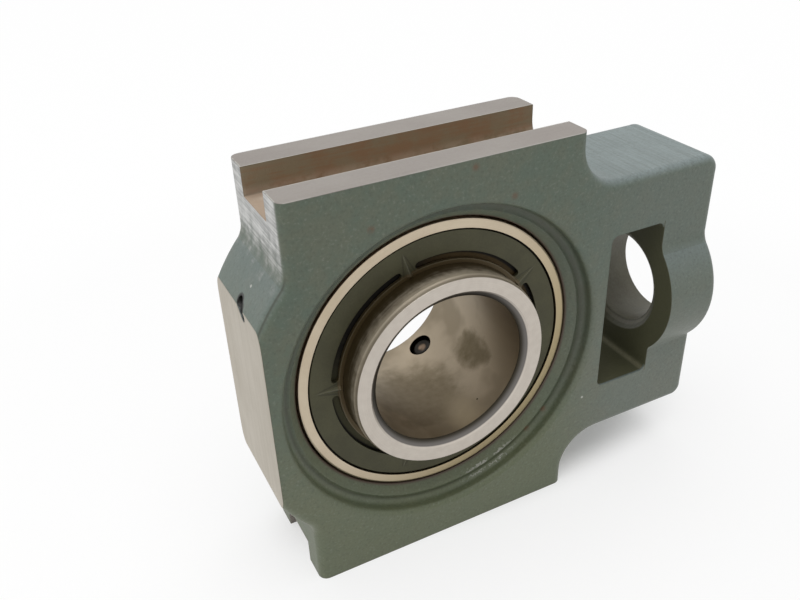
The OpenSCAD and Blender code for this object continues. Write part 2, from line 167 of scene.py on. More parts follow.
SIDE_BURR_HIGHLIGHT = (PLATE_FACE - 0.14, 0.12, 0.10)
END_BURR_HIGHLIGHT = (GUIDE_END - 0.16, 0.14, 0.10)

# Edges on the bearing, in the same way
# Painted reflection on the outer ring towards its lower right
REFLECTED_GOLD_EDGE = (30.0, 30.0)
CHAMFER_EDGE = (BORE_RADIUS + 1.6, 0.12)
CHAMFER_FADE = (BORE_RADIUS + 0.7, 0.6)
BORE_EDGE = (BORE_RADIUS + 0.06, 0.03)
BORE_SHADE = (20.5, 3.5)
OUTSIDE_START = (INNER_RADIUS - 0.47, 0.04)
BEHIND_FACE = (0.03, 0.02)
BEHIND_EDGE = (0.85, 0.35)
WIPED_START = (20.6, 3.0)
SCREW_HOLE = (SCREW_CREST + 0.15, 0.05)
SCREW_HALF = (0.0, 1.0)
CUP_SIDE = (CUP_RADIUS - 0.9, 0.4)
CUP_FLOOR = (SCREW_POINT + CUP_DEPTH + 0.2, 0.1)
COLLAR_EDGE = (COLLAR_RADIUS + 0.3, 0.3)
# Painted shade beside the slinger's creases and painted highlight on their ridges
CREASE_FOOT_SHADE = (0.15, 0.35)
CREASE_RIDGE_HIGHLIGHT = (0.12, 0.22)
DUSTY_WINDOW = (WINDOW_RADIUS - 0.5, 0.3)
DUSTY_LOW = (12.0, 10.0)
WORN_WINDOW = (WINDOW_RADIUS - 0.9, 0.3)
WORN_HIGH = (14.0, 8.0)

# Bands on the bearing, in the same way
# Painted shade line where the bore meets the chamfer
BORE_LINE = (INNER_FRONT - CHAMFER_DEPTH, 0.25, 0.2)
WIPED_ACROSS = (-4.0, 6.0, 10.0)
RING_WALL = ((BORE_RADIUS + INNER_RADIUS) / 2, 2.9, 0.1)
CREASE_LENGTH = (32.8, 2.9, 0.9)
WINDOW_LIP = (COLLAR_RADIUS - 0.15, 0.1, 0.1)

# Upright share of the normal from which a face counts as a top and gets a painted highlight, and the half
# width of that edge
TOP_FACE = (0.58, 0.40)

# Marks on the casting: places, and the reach of one mark with its half width of edge, in millimetres
RUST_SPOTS = ((-20.9, -17.0, 47.2), (7.0, -17.0, 56.4), (18.4, -17.0, 46.3),
              (28.7, -12.8, -34.9), (34.5, -12.8, -29.6))
RUST_REACH = (0.8, 0.7)
PALE_SPECKS = ((-46.9, -3.4, 33.2), (45.8, -17.0, -26.8))
SPECK_REACH = (0.38, 0.15)
PIT_PLACES = ((-49.0, -1.6, 28.8), (-49.0, -3.2, 27.6), (-49.0, -4.8, 26.4))
PIT_REACH = (2.0, 0.3)

# Marks, painted shade and a painted reflection in the bore: middles and reach along each axis in
# millimetres, edges in shares of the reach
SIDE_SMUDGE_AND_SHADE, SIDE_SMUDGE_AND_SHADE_HALF = (19.2, 2.7, -11.2), (6.0, 9.0, 6.0)
SIDE_SMUDGE_AND_SHADE_EDGE = (1.55, 0.4)
LOW_SMUDGE_AND_SHADE, LOW_SMUDGE_AND_SHADE_HALF = (-2.0, 2.0, -22.0), (18.0, 18.0, 10.0)
LOW_SMUDGE_AND_SHADE_EDGE = (1.3, 0.3)
REFLECTED_LIGHT_PATCH, REFLECTED_LIGHT_PATCH_HALF = (7.0, -15.0, -21.1), (6.0, 12.0, 6.0)
REFLECTED_LIGHT_PATCH_EDGE = (1.1, 0.6)
BORE_DOT = (12.2, -10.9, -18.6)
BORE_DOT_REACH = (0.25, 0.15)

# Colours in linear light
PAINT_GREEN = (0.110, 0.138, 0.098)
PAINT_OLIVE = (0.134, 0.142, 0.094)
PAINT_LOW = (0.120, 0.140, 0.074)
PAINT_HEAD = (0.150, 0.172, 0.148)
# Painted highlight, pale and bluish, on faces that look up, lighter and darker with filing marks and
# patches
PAINT_TOP_HIGHLIGHT = (0.205, 0.250, 0.252)
PAINT_TOP_HIGHLIGHT_DARK = (0.140, 0.172, 0.168)
PAINT_DARK = (0.036, 0.038, 0.024)
# Painted shade for the casting's upper half
PAINT_UPPER_SHADE = (0.012, 0.062, 0.048)
# Dirt and painted shade in the seat's gutter
GUTTER_DIRT_AND_SHADE = (0.036, 0.040, 0.020)
PALE = (0.48, 0.48, 0.44)
BRUSHED = (0.34, 0.34, 0.335)
BRUSHED_LIGHT = (0.68, 0.675, 0.66)
RAIL_IRON = (0.240, 0.212, 0.192)
RAIL_IRON_LIGHT = (0.285, 0.258, 0.234)
GROUND_IRON = (0.42, 0.375, 0.300)
GROUND_IRON_LIGHT = (0.51, 0.465, 0.390)
GROOVE_BROWN = (0.225, 0.138, 0.075)
GROOVE_OLIVE = (0.215, 0.168, 0.103)
GROOVE_TAN = (0.54, 0.445, 0.355)
GROOVE_SAND = (0.48, 0.405, 0.325)
RUST = (0.120, 0.062, 0.030)
SEAT_BROWN = (0.085, 0.058, 0.040)
# Painted shade in the nut slot and on the countersink
SLOT_SHADE = (0.058, 0.058, 0.026)
SLOT_DUST = (0.170, 0.160, 0.095)
HOLE_IRON = (0.165, 0.158, 0.112)
HOLE_BROWN = (0.105, 0.096, 0.060)
# Painted shade in the pit on the nose's edge
PIT_SHADE = (0.006, 0.006, 0.004)
RING_STEEL = (0.60, 0.515, 0.395)
RING_STEEL_DARK = (0.47, 0.390, 0.280)
RING_REFLECTED_GOLD = (0.40, 0.325, 0.185)
FACE_STEEL = (0.50, 0.452, 0.398)
FACE_STEEL_LIGHT = (0.57, 0.522, 0.462)
SLINGER_OLIVE = (0.054, 0.051, 0.026)
SLINGER_OLIVE_LIGHT = (0.076, 0.073, 0.038)
# Pale colour for the painted highlight on the crease ridges and for the window lip
SLINGER_HIGHLIGHT_AND_WEAR = (0.21, 0.20, 0.15)
COLLAR_BROWN = (0.085, 0.055, 0.020)
RUBBER_BLACK = (0.005, 0.004, 0.003)
RUBBER_DUSTY = (0.014, 0.012, 0.007)
# Painted shade and reflection on the inner ring's chamfer, darkest at the bore
CHAMFER_SHADED_STEEL = (0.155, 0.145, 0.135)
CHAMFER_SHADE = (0.040, 0.035, 0.026)
BORE_STEEL = (0.345, 0.288, 0.212)
# Smudges and painted shade in the bore, and a painted reflection of light
BORE_SMUDGE_AND_SHADE = (0.105, 0.082, 0.045)
BORE_REFLECTED_LIGHT = (0.47, 0.395, 0.270)
OUTSIDE_TAN = (0.60, 0.520, 0.405)
OUTSIDE_BROWN = (0.050, 0.034, 0.012)
OUTSIDE_EDGE = (0.150, 0.122, 0.082)
SCREW_BLACK = (0.014, 0.012, 0.009)
SCREW_BROWN = (0.200, 0.140, 0.095)
CAGE_SHEET = (0.36, 0.31, 0.22)
CAGE_SHEET_LIGHT = (0.52, 0.46, 0.34)
BALL_STEEL = (0.62, 0.61, 0.59)
BALL_STEEL_LIGHT = (0.78, 0.77, 0.75)
ZINC = (0.50, 0.48, 0.42)
ZINC_LIGHT = (0.66, 0.64, 0.58)
FLOOR_PALE = (0.97, 0.97, 0.97)
WHITE = (1.0, 1.0, 1.0)

# Middle of a noise pattern, samples of a softened edge, and the sockets of a Mix node for colours
PATTERN_MIDDLE = 0.5
EDGE_SAMPLES = 6
MIX_FACTOR, MIX_FIRST, MIX_SECOND, MIX_RESULT = 0, 6, 7, 2

# Floor, in metres
FLOOR_SIZE = 6.0
FLOOR_GAP = 0.02 * MM
# Middle and reach of the painted shadow, where the floor shows less white glow
SHADOW_MIDDLE, SHADOW_HALF = (0.030, 0.008, 0.0), (0.062, 0.022, 1.0)
FAR_FLOOR = (0.17, 0.12)

# Edge of the painted shadow in shares of its reach, and the shares of plain white that the camera sees
SHADOW_EDGE = (1.05, 0.35)
SHADOW_GLOW, NEAR_GLOW, FAR_GLOW = 0.17, 0.70, 0.97

# Strength of the white surroundings as light, where 1 is how bright they look
AMBIENT = 0.42

# Camera at the photograph's viewing angle, with lens and sensor in millimetres
CAMERA_PLACE = Vector((-90.9, -174.2, 132.7)) * MM
CAMERA_AIM = Vector((-6.01, 0.0, 14.88)) * MM
CAMERA_ROLL = math.radians(2.36)
CAMERA_LENS = 37.72
CAMERA_SENSOR = 36.0
CAMERA_NEAREST = 0.01


class Sock:
    """An output of a material's node tree. Arithmetic on it adds Math nodes."""

    def __init__(self, tree, socket=None):
        self.tree = tree
        self.socket = socket

    def node(self, kind, settings=None, inputs=None, out=0):
        """Adds a node, with its settings first and then the values or links of its sockets."""
        made = self.tree.nodes.new("ShaderNode" + kind)
        for name, value in (settings or {}).items():
            setattr(made, name, value)
        for name, value in (inputs or {}).items():
            if isinstance(value, Sock):
                self.tree.links.new(value.socket, made.inputs[name])
            else:
                made.inputs[name].default_value = value
        return Sock(self.tree, made.outputs[out] if made.outputs else None)

    def math(self, operation, *values):
        return self.node("Math", {"operation": operation}, dict(enumerate(values)))

    def __add__(self, other):
        return self.math("ADD", self, other)

    def __radd__(self, other):
        return self.math("ADD", other, self)

    def __sub__(self, other):
        return self.math("SUBTRACT", self, other)

    def __rsub__(self, other):
        return self.math("SUBTRACT", other, self)

    def __mul__(self, other):
        return self.math("MULTIPLY", self, other)

    def __rmul__(self, other):
        return self.math("MULTIPLY", other, self)

    def __neg__(self):
        return self.math("MULTIPLY", self, -1.0)

    def __abs__(self):
        return self.math("ABSOLUTE", self)

    def __pow__(self, other):
        return self.math("POWER", self, other)

    def __or__(self, other):
        """The larger of two masks."""
        return self.math("MAXIMUM", self, other)

    def xyz(self):
        """For a place or direction: its three distances."""
        split = self.node("SeparateXYZ", inputs={"Vector": self})
        return [Sock(self.tree, out) for out in split.socket.node.outputs]

    def stretched(self, x, y, z):
        """The same place with each axis multiplied, so that a pattern on it is drawn out."""
        return self.node("VectorMath", {"operation": "MULTIPLY"}, {0: self, 1: (x, y, z)})

    def noise(self, per_mm=1.0, detail=4.0, roughness=0.55):
        """For a place: an uneven pattern from 0 to 1."""
        return self.node("TexNoise", {"noise_dimensions": "3D"},
                         {"Vector": self, "Scale": per_mm, "Detail": detail, "Roughness": roughness})

    def above(self, edge, soft):
        """0 where the value is below the edge and 1 above it, blended over soft on both sides."""
        return self.node("MapRange", {"interpolation_type": "SMOOTHSTEP", "clamp": True},
                         {"Value": self, "From Min": edge - soft, "From Max": edge + soft})

    def below(self, edge, soft):
        return 1.0 - self.above(edge, soft)

    def near(self, value, reach, soft):
        """1 within reach of a value."""
        return abs(self - value).below(reach, soft)

    def length(self):
        return self.node("VectorMath", {"operation": "LENGTH"}, {0: self}, out=1)

    def away_from(self, centre):
        """For a place: the way to it from a centre."""
        return self.node("VectorMath", {"operation": "SUBTRACT"}, {0: self, 1: centre})

    def within(self, centre, half):
        """For a place: its distance from a centre, where the reach along each axis counts as 1."""
        return self.away_from(centre).stretched(*(1.0 / reach for reach in half)).length()

    def spots(self, centres, reach, soft):
        """For a place: 1 within reach of any of the centres."""
        masks = [self.away_from(centre).length().below(reach, soft) for centre in centres]
        whole = masks[0]
        for mask in masks[1:]:
            whole = whole | mask
        return whole

    def blend(self, first, second, share=1.0):
        """The colour first where this is 0, and the given share of second over it where this is 1."""
        factor = self * share if share < 1.0 else self
        pair = {socket: value if isinstance(value, Sock) else (*value, 1.0)
                for socket, value in ((MIX_FIRST, first), (MIX_SECOND, second))}
        return self.node("Mix", {"data_type": "RGBA"}, {MIX_FACTOR: factor, **pair}, out=MIX_RESULT)

    def mottle(self, soft, dark, light):
        """For a pattern: a colour that wanders between dark and light."""
        return self.above(PATTERN_MIDDLE, soft).blend(dark, light)

    def between(self, low, high):
        """This value, which runs from 0 to 1, drawn out from low to high."""
        return low + self * (high - low)


def new_finish(name):
    """A new material and the place on its surface in millimetres."""
    material = bpy.data.materials.new(name)
    material.use_nodes = True
    material.node_tree.nodes.clear()
    place = Sock(material.node_tree).node("TexCoord", out="Object")
    place = place.node("VectorMath", {"operation": "SCALE"}, {0: place, "Scale": 1 / MM})
    return material, place


def close_finish(material, place, bump, depth_mm, edge_mm=0.0, **inputs):
    """Joins the shader to the material: bump is a height from 0 to 1, edge_mm softens sharp edges."""
    sockets = {}
    for name, value in inputs.items():
        sockets[name.replace("_", " ").title().replace("Ior", "IOR")] = value
    relief = {"Height": bump, "Distance": depth_mm * MM, "Strength": 1.0}
    if edge_mm:
        relief["Normal"] = place.node("Bevel", {"samples": EDGE_SAMPLES}, {"Radius": edge_mm * MM})
    sockets["Normal"] = place.node("Bump", inputs=relief)
    shader = place.node("BsdfPrincipled", inputs=sockets)
    place.node("OutputMaterial", inputs={"Surface": shader})
    return material


def from_axis(first, second):
    """Distance from an axis, from the two distances across it."""
    return (first ** 2.0 + second ** 2.0) ** 0.5


def in_direction(x, z, angle):
    """Distance along a direction from the bearing axis, and sideways from that direction."""
    along = x * math.cos(angle) + z * math.sin(angle)
    sideways = z * math.cos(angle) - x * math.sin(angle)
    return along, sideways


def along_screw(x, y, z, angle):
    """Distance along a set screw's axis from the bearing axis, and distance from the screw's axis."""
    along, sideways = in_direction(x, z, angle)
    return along, from_axis(y - SCREW_PLANE, sideways)


def turning_marks(radius, per_mm):
    """Fine rings about the bearing axis."""
    return radius.node("TexNoise", {"noise_dimensions": "1D"},
                       {"W": radius, "Scale": per_mm, "Detail": 4.0})


class CastingFinish:
    """Grey-green paint over cast iron, with machined, ground and rusty faces left bare."""

    def __init__(self):
        self.material, self.place = new_finish("painted_casting")
        self.x, self.y, self.z = self.place.xyz()
        self.radius = from_axis(self.x, self.z)
        self.hole_radius = from_axis(self.y, self.z)
        self.sand = self.place.noise(1.25, detail=6.0, roughness=0.62)
        self.grain = self.place.noise(0.30)
        self.patch = self.place.noise(0.055)
        self.streak_x = self.place.stretched(0.03, 1.2, 1.2).noise()
        self.streak_y = self.place.stretched(1.4, 0.05, 1.6).noise(detail=5.0, roughness=0.6)
        self.streak_z = self.place.stretched(0.7, 0.7, 0.035).noise()
        self.find_faces()

    def find_faces(self):
        """Masks of the faces that aren't painted like the rest."""
        self.rail = abs(self.z).above(*RAIL_EDGE)
        self.groove = abs(self.y).below(*GROOVE_SIDE) * abs(self.z).above(*GROOVE_BOTTOM)
        self.wall = self.groove * abs(self.y).above(*WALL_EDGE)
        self.nose = (-self.x).above(*NOSE_EDGE)
        brushed = (self.z + self.grain * 16.0 + self.streak_y * 3.0).above(*BRUSHED_EDGE)
        self.end = (-self.x).above(*END_EDGE) * abs(self.y).below(*END_SIDE) * brushed
        slot_end = self.x.above(*SLOT_FAR_EDGE)
        self.hole = self.hole_radius.below(*HOLE_EDGE) * slot_end
        slot_inside = abs(self.y).below(*SLOT_SIDE) | slot_end
        self.slot = self.x.near(*SLOT_ALONG) * self.z.near(*SLOT_UPRIGHT) * slot_inside

    def paint(self):
        """Uneven paint: more olive low down, paler on the head, darker towards the top with painted shade,
        and a painted bluish highlight on faces that look up.
        """
        paint = (self.patch * 0.6 + self.grain * 0.4).mottle(0.13, PAINT_GREEN, PAINT_OLIVE)
        low = (self.patch * 40.0 - self.z).above(*LOW_PAINT) * self.x.below(*BODY_PAINT)
        paint = low.blend(paint, PAINT_LOW, share=0.8)
        paint = self.x.above(*HEAD_PAINT).blend(paint, PAINT_HEAD, share=0.6)
        # Painted shade: darker towards the top
        paint = self.z.above(*UPPER_SHADE).blend(paint, PAINT_UPPER_SHADE, share=0.21)
        filed = (self.streak_y * 0.6 + self.patch * 0.4).above(PATTERN_MIDDLE, 0.17)
        filed = filed * self.x.above(*FILED_PAINT) | self.patch * self.x.below(*FILED_PAINT)
        # Painted highlight on faces that look up
        upright = self.place.node("NewGeometry", out="Normal").xyz()[2]
        top = upright.above(*TOP_FACE) * self.radius.above(*MOUTH_EDGE)
        paint = top.blend(paint, filed.blend(PAINT_TOP_HIGHLIGHT_DARK, PAINT_TOP_HIGHLIGHT), share=0.9)
        paint = self.sand.below(0.40, 0.10).blend(paint, PAINT_DARK, share=0.3)
        return self.sand.above(0.63, 0.08).blend(paint, PALE, share=0.12)

    def gutter(self, paint):
        """Dirt and painted shade in the gutter of the seat, spread wider at the upper right, and chips at
        the lower right.
        """
        # Dirt and painted shade: a thin line all round, spread wider at the upper right
        upper_right = (self.z + self.x * 0.8).above(*GUTTER_UPPER_RIGHT)
        spread = self.radius.near(*GUTTER_SPREAD) * upper_right
        line = self.radius.near(*GUTTER_LINE) * 0.8
        dirt_and_shade = (spread | line) * abs(self.y).below(*GUTTER_SIDE)
        paint = (dirt_and_shade * self.grain.between(0.6, 1.0)).blend(paint, GUTTER_DIRT_AND_SHADE)
        ragged = self.radius + self.sand * 2.5 + self.grain * 0.8
        chips = (ragged.near(*CHIPS_INNER) | ragged.near(*CHIPS_OUTER)) * self.grain.above(0.46, 0.06)
        lower_right = (-self.z).above(*CHIPS_TOP) * self.x.near(*CHIPS_ACROSS)
        chips = chips * lower_right * (-self.y).above(*CHIPS_DEPTH)
        return chips.blend(paint, PALE, share=0.7)

    def marks(self, paint):
        """A painted shade line in the crease beside the nose, rust spots and pale specks."""
        # Painted shade along the crease where the front face meets the nose's rounding
        rim = self.radius.above(*RIM_ROUND) * (-self.x).above(*RIM_START) * self.z.near(*RIM_UPRIGHT)
        paint = (self.y.near(*RIM_LINE) * rim).blend(paint, PAINT_DARK, share=0.75)
        rust = self.place.spots(RUST_SPOTS, *RUST_REACH) * self.sand.above(0.40, 0.12)
        paint = rust.blend(paint, RUST, share=0.8)
        return self.place.spots(PALE_SPECKS, *SPECK_REACH).blend(paint, PALE)

    def openings(self, paint):
        """Nut slot darkened with painted shade, dust in its lower corner, brown screw hole with painted
        shade on the outer part of its countersink and along its round, and brown seat.
        """
        # Painted shade over the inside of the nut slot
        paint = self.slot.blend(paint, SLOT_SHADE)
        dust = self.slot * self.x.above(*DUST_EDGE) * self.z.below(*DUST_TOP)
        paint = (dust * self.sand.above(0.35, 0.2)).blend(paint, SLOT_DUST, share=0.7)
        bored = (self.sand * 0.25 + self.patch * 0.75).mottle(0.16, HOLE_BROWN, HOLE_IRON)
        paint = self.hole.blend(paint, bored)
        # Painted shade on the outer part of the countersink and a painted shade line along its round
        paint = (self.hole * self.hole_radius.above(*SINK_EDGE)).blend(paint, SLOT_SHADE)
        sink_line = self.hole_radius.near(*SINK_ROUND) * self.x.near(*SINK_ALONG)
        paint = sink_line.blend(paint, SLOT_SHADE, share=0.8)
        return self.radius.below(*SEAT_EDGE).blend(paint, SEAT_BROWN)

    def rail_iron(self):
        """Milled iron of the rail tops, with pale burrs and a painted edge highlight along their edges."""
        iron = (self.streak_x * 0.35 + self.patch * 0.65).mottle(0.2, RAIL_IRON, RAIL_IRON_LIGHT)
        iron = self.sand.above(0.50, 0.20).blend(iron, PALE, share=0.07)
        # Pale burrs and a painted edge highlight along the rail edges
        burr_and_highlight = abs(self.y).near(*GROOVE_BURR_HIGHLIGHT) | abs(self.y).near(*SIDE_BURR_HIGHLIGHT) | (-self.x).near(*END_BURR_HIGHLIGHT)
        return (burr_and_highlight * self.streak_x.above(0.42, 0.1)).blend(iron, PALE, share=0.8)

    def groove_floor(self):
        """Sandy floor of the guide grooves, stained brown at the nose end of the upper one."""
        sandy = (self.streak_x * 0.6 + self.grain * 0.4).mottle(0.2, GROOVE_SAND, GROOVE_TAN)
        stained = (self.grain * 12.0 - self.x).above(*STAIN_EDGE) * self.z.above(*UPPER_RAILS)
        return stained.blend(sandy, GROOVE_BROWN, share=0.5)

    def groove_wall(self):
        """Walls of the guide grooves: brown with a paler foot in the upper one, bare in the lower one."""
        rusty = self.place.noise(0.16, detail=5.0) + (self.streak_x - PATTERN_MIDDLE) * 0.7
        brown = rusty.mottle(0.16, GROOVE_BROWN, GROOVE_OLIVE)
        foot = abs(self.z).below(*GROOVE_FOOT) * self.grain.above(0.42, 0.15)
        brown = foot.blend(brown, GROOVE_TAN, share=0.4)
        return self.z.above(*UPPER_RAILS).blend(RAIL_IRON_LIGHT, brown)

    def bare_faces(self, colour):
        """Brushed guide end, rails, grooves, ground nose, and near-black painted shade in the open pit on
        the nose's edge.
        """
        brushed = (self.streak_y * 0.7 + self.grain * 0.3).mottle(0.11, BRUSHED, BRUSHED_LIGHT)
        ground = (self.streak_z * 0.5 + self.patch * 0.5).mottle(0.2, GROUND_IRON, GROUND_IRON_LIGHT)
        colour = self.end.blend(colour, brushed, share=0.9)
        colour = self.rail.blend(colour, self.rail_iron())
        colour = self.groove.blend(colour, self.groove_floor())
        colour = self.wall.blend(colour, self.groove_wall())
        colour = self.nose.blend(colour, ground)
        # Painted shade, near black, inside the pit
        pit = self.place.spots(PIT_PLACES, *PIT_REACH) * self.x.above(*PIT_START)
        return pit.blend(colour, PIT_SHADE)

    def finish(self):
        """The whole material, rough and sandy on paint, tooled and a little metallic on bare faces."""
        painted = self.openings(self.marks(self.gutter(self.paint())))
        bare = self.rail | self.nose | self.end
        rough = self.sand.between(0.36, 0.54) * (1.0 - bare) + self.streak_x.between(0.42, 0.58) * bare
        rough = rough | self.groove * 0.75 | self.slot * 0.7
        tooled = self.streak_x * self.rail + self.streak_y * self.end + self.streak_z * self.nose
        height = (self.sand * 0.9 + self.grain * 1.1) * (1.0 - bare) + tooled * 0.2
        return close_finish(self.material, self.place, height, depth_mm=0.12, edge_mm=0.45,
                            base_color=self.bare_faces(painted), roughness=rough,
                            metallic=bare * (1.0 - self.groove) * 0.35)


def ring_finish():
    """Ground bearing steel of the outer ring, with a painted reflection that makes it darker and more
    golden towards its lower right.
    """
    material, place = new_finish("outer_ring_steel")
    x, _, z = place.xyz()
    turned = turning_marks(from_axis(x, z), 9.0)
    film = place.noise(0.09)
    colour = (turned * 0.4 + film * 0.6).mottle(0.2, RING_STEEL_DARK, RING_STEEL)
    # Painted reflection: darker and more golden towards the lower right
    lower_right = (x - z * 0.8 + film * 24.0).above(*REFLECTED_GOLD_EDGE)
    colour = lower_right.blend(colour, RING_REFLECTED_GOLD, share=0.9)
    return close_finish(material, place, turned, depth_mm=0.006, edge_mm=0.2, base_color=colour,
                        metallic=1.0, roughness=film.between(0.26, 0.44))


def bore_colour(place, film, fine):
    """Steel of the bore, with smudges and painted shade in dark patches, a painted reflection in a light
    patch, a dot and a painted shade line at the chamfer.
    """
    x, y, _ = place.xyz()
    ragged = place.noise(0.17)
    side = (place.within(SIDE_SMUDGE_AND_SHADE, SIDE_SMUDGE_AND_SHADE_HALF) + ragged * 1.4).below(*SIDE_SMUDGE_AND_SHADE_EDGE)
    low = (place.within(LOW_SMUDGE_AND_SHADE, LOW_SMUDGE_AND_SHADE_HALF) + ragged * 0.9).below(*LOW_SMUDGE_AND_SHADE_EDGE)
    thin = film.below(0.46, 0.08) | (x - y * 0.25).above(*BORE_SHADE)
    # Dark patches: smudges and painted shade
    smudge_and_shade = side * fine.between(0.7, 1.0) | low * fine.between(0.5, 0.85) | thin * 0.45
    colour = smudge_and_shade.blend(BORE_STEEL, BORE_SMUDGE_AND_SHADE)
    # Painted reflection: a light patch low in the bore
    reflected_light = (place.within(REFLECTED_LIGHT_PATCH, REFLECTED_LIGHT_PATCH_HALF) + ragged * 0.8).below(*REFLECTED_LIGHT_PATCH_EDGE)
    colour = (reflected_light * fine.between(0.35, 0.65)).blend(colour, BORE_REFLECTED_LIGHT)
    colour = place.spots((BORE_DOT,), *BORE_DOT_REACH).blend(colour, SCREW_BLACK)
    # Painted shade line where the bore meets the chamfer
    return (-y).near(*BORE_LINE).blend(colour, CHAMFER_SHADE)


def outside_colour(place, film, fine):
    """Oily brown outside of the inner ring, wiped paler towards its front and darker at the edge."""
    x, y, z = place.xyz()
    drawn = place.stretched(0.12, 1.6, 0.12).noise()
    front = (film * 3.0 + fine * 3.5 + drawn * 4.0 + z * 0.05 - y).above(*WIPED_START)
    wiped = x.near(*WIPED_ACROSS).between(0.7, 1.0)
    oily = (front ** 1.5 * wiped).blend(OUTSIDE_BROWN, OUTSIDE_TAN)
    edge = (INNER_FRONT + y).below(*BEHIND_EDGE) * drawn.above(0.40, 0.15).between(0.35, 0.75)
    return edge.blend(oily, OUTSIDE_EDGE)


def inner_ring_finish():
    """Satin end faces, a chamfer darkened with painted shade and reflection, an oily brown outside and a
    smudged bore with painted reflections.
    """
    material, place = new_finish("inner_ring_steel")
    x, y, z = place.xyz()
    radius = from_axis(x, z)
    turned = turning_marks(radius, 7.0)
    film = place.noise(0.05, detail=3.0, roughness=0.5)
    fine = place.noise(0.5)
    colour = (turned * 0.5 + fine * 0.5).mottle(0.22, FACE_STEEL, FACE_STEEL_LIGHT)
    # Painted shade and reflection on the chamfer, darkest at the bore
    chamfer = radius.above(*CHAMFER_FADE).blend(CHAMFER_SHADE, CHAMFER_SHADED_STEEL)
    colour = radius.below(*CHAMFER_EDGE).blend(colour, chamfer)
    inside = radius.below(*BORE_EDGE)
    colour = inside.blend(colour, bore_colour(place, film, fine))
    outside = radius.above(*OUTSIDE_START) * (INNER_FRONT + y).above(*BEHIND_FACE)
    colour = outside.blend(colour, outside_colour(place, film, fine))
    # Painted shade, as black as the screws, on the walls of the set screw holes
    in_wall = radius.near(*RING_WALL)
    for angle in SCREW_ANGLES.values():
        along, across = along_screw(x, y, z, angle)
        screw_hole = across.below(*SCREW_HOLE) * along.above(*SCREW_HALF) * in_wall
        colour = screw_hole.blend(colour, SCREW_BLACK)
    return close_finish(material, place, turned * (1.0 - inside), depth_mm=0.006, edge_mm=0.15,
                        base_color=colour, metallic=1.0 - outside * 0.65,
                        roughness=film.between(0.30, 0.42) + inside * 0.06 + outside * 0.1)


def slinger_finish():
    """Blackened olive sheet of the slingers, browner at the collar, with painted shade beside the creases,
    a painted highlight on their ridges and a pale line at the window lip.
    """
    material, place = new_finish("slinger_sheet")
    x, _, z = place.xyz()
    radius = from_axis(x, z)
    film = place.noise(0.11)
    fine = place.noise(2.2, detail=3.0)
    colour = (film * 0.7 + fine * 0.3).mottle(0.2, SLINGER_OLIVE, SLINGER_OLIVE_LIGHT)
    colour = radius.below(*COLLAR_EDGE).blend(colour, COLLAR_BROWN, share=0.8)
    for tab in range(TAB_COUNT):
        along, sideways = in_direction(x, z, TAB_ANGLE + tab * 2 * math.pi / TAB_COUNT)
        crease = along.near(*CREASE_LENGTH)
        from_foot = abs(abs(sideways) - (CREASE_TIP - along) * CREASE_SPREAD)
        # Painted shade beside each crease and a painted highlight along its ridge
        colour = (from_foot.below(*CREASE_FOOT_SHADE) * crease).blend(colour, RUBBER_BLACK, share=0.55)
        colour = (abs(sideways).below(*CREASE_RIDGE_HIGHLIGHT) * crease).blend(colour, SLINGER_HIGHLIGHT_AND_WEAR, share=0.38)
    window_lip = radius.near(*WINDOW_LIP) * film.between(0.1, 0.45)
    colour = window_lip.blend(colour, SLINGER_HIGHLIGHT_AND_WEAR)
    return close_finish(material, place, fine, depth_mm=0.012, edge_mm=0.15, base_color=colour,
                        metallic=0.5, roughness=film.between(0.38, 0.55))


def screw_finish(node):
    """Oil-blackened steel of a set screw, worn brown in its cup."""
    material, place = new_finish("black_" + node)
    along, across = along_screw(*place.xyz(), SCREW_ANGLES[node])
    film = place.noise(0.5)
    cup = across.below(*CUP_SIDE) * along.below(*CUP_FLOOR)
    colour = (cup * film.above(0.45, 0.2)).blend(SCREW_BLACK, SCREW_BROWN)
    return close_finish(material, place, film, depth_mm=0.01, edge_mm=0.08, base_color=colour,
                        metallic=0.8, roughness=film.between(0.30, 0.5))


def rubber_finish():
    """Black nitrile of the seals, dusty and worn brown where the windows show it."""
    material, place = new_finish("seal_rubber")
    x, _, z = place.xyz()
    radius = from_axis(x, z)
    dust = place.noise(0.8, detail=5.0)
    colour = dust.above(0.6, 0.15).blend(RUBBER_BLACK, RUBBER_DUSTY)
    settled = (dust * 6.0 - z - x * 0.5).above(*DUSTY_LOW) * radius.below(*DUSTY_WINDOW)
    colour = settled.blend(colour, SLINGER_OLIVE)
    worn = (x + z * 0.5).above(*WORN_HIGH) * radius.below(*WORN_WINDOW)
    colour = (worn * dust.between(0.5, 1.0)).blend(colour, COLLAR_BROWN)
    return close_finish(material, place, dust, depth_mm=0.02, base_color=colour,
                        roughness=dust.between(0.5, 0.75), specular_ior_level=0.15)


def polished_finish(name, dark, light, smoothest, roughest):
    """Metal with a thin uneven oil film."""
    material, place = new_finish(name)
    film = place.noise(0.22, detail=5.0)
    scratch = place.stretched(0.6, 3.0, 0.6).noise()
    return close_finish(material, place, scratch, depth_mm=0.004, edge_mm=0.1,
                        base_color=film.mottle(0.2, dark, light), metallic=1.0,
                        roughness=film.between(smoothest, roughest))


def cut_away(body, cutter):
    """Cuts the second object out of the first and removes it."""
    cut = body.modifiers.new("cut", "BOOLEAN")
    cut.operation = "DIFFERENCE"
    cut.object = cutter
    bpy.ops.object.select_all(action="DESELECT")
    body.select_set(True)
    bpy.context.view_layer.objects.active = body
    bpy.ops.object.modifier_apply(modifier=cut.name)
    bpy.ops.object.select_all(action="DESELECT")
    cutter.select_set(True)
    bpy.ops.object.delete()


